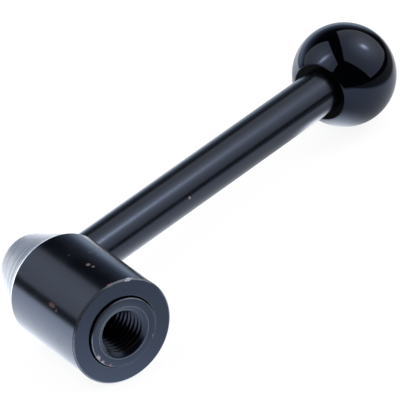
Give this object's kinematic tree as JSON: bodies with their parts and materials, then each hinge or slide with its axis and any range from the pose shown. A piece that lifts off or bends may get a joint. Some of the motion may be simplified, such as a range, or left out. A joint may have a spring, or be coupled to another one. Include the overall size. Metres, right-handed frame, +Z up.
{
  "type": "adjustable clamping lever",
  "caption": "Steel clamping lever with a toothed threaded insert, a cylindrical hub with a conical top, a straight arm and a ball knob.",
  "frame": {"origin": "on the axis of the insert's thread, in the plane of the insert's lower face", "axes": "+Z up the hub's axis, away from the machine; the arm leans out over +X and rises along it"},
  "size_m": [0.1838, 0.035, 0.1184],
  "materials": {
    "blackened_steel": "black oxide on turned steel, satin; the cone of the hub is bright turned",
    "screw_steel": "blackened socket head screw",
    "spring_steel": "bright spring wire",
    "knob_plastic": "black moulded thermoset, high gloss"
  },
  "bodies": {
    "insert": {"toothed_insert": "blackened_steel", "retaining_screw": "screw_steel"},
    "spring": {"return_spring": "spring_steel"},
    "lever": {"lever_hub": "blackened_steel", "lever_arm": "blackened_steel", "ball_knob": "knob_plastic"}
  },
  "joints": [
    {"name": "swing", "type": "hinge", "parent": "insert", "child": "spring", "pos_m": [0, 0, 0], "axis": [0, 0, 1], "continuous": true},
    {"name": "lift", "type": "slide", "parent": "spring", "child": "lever", "axis": [0, 0, 1], "range_m": [0, 0.0055], "stiffness_N_per_m": 5100, "springref_m": -0.0036, "deforming": ["return_spring"]}
  ]
}
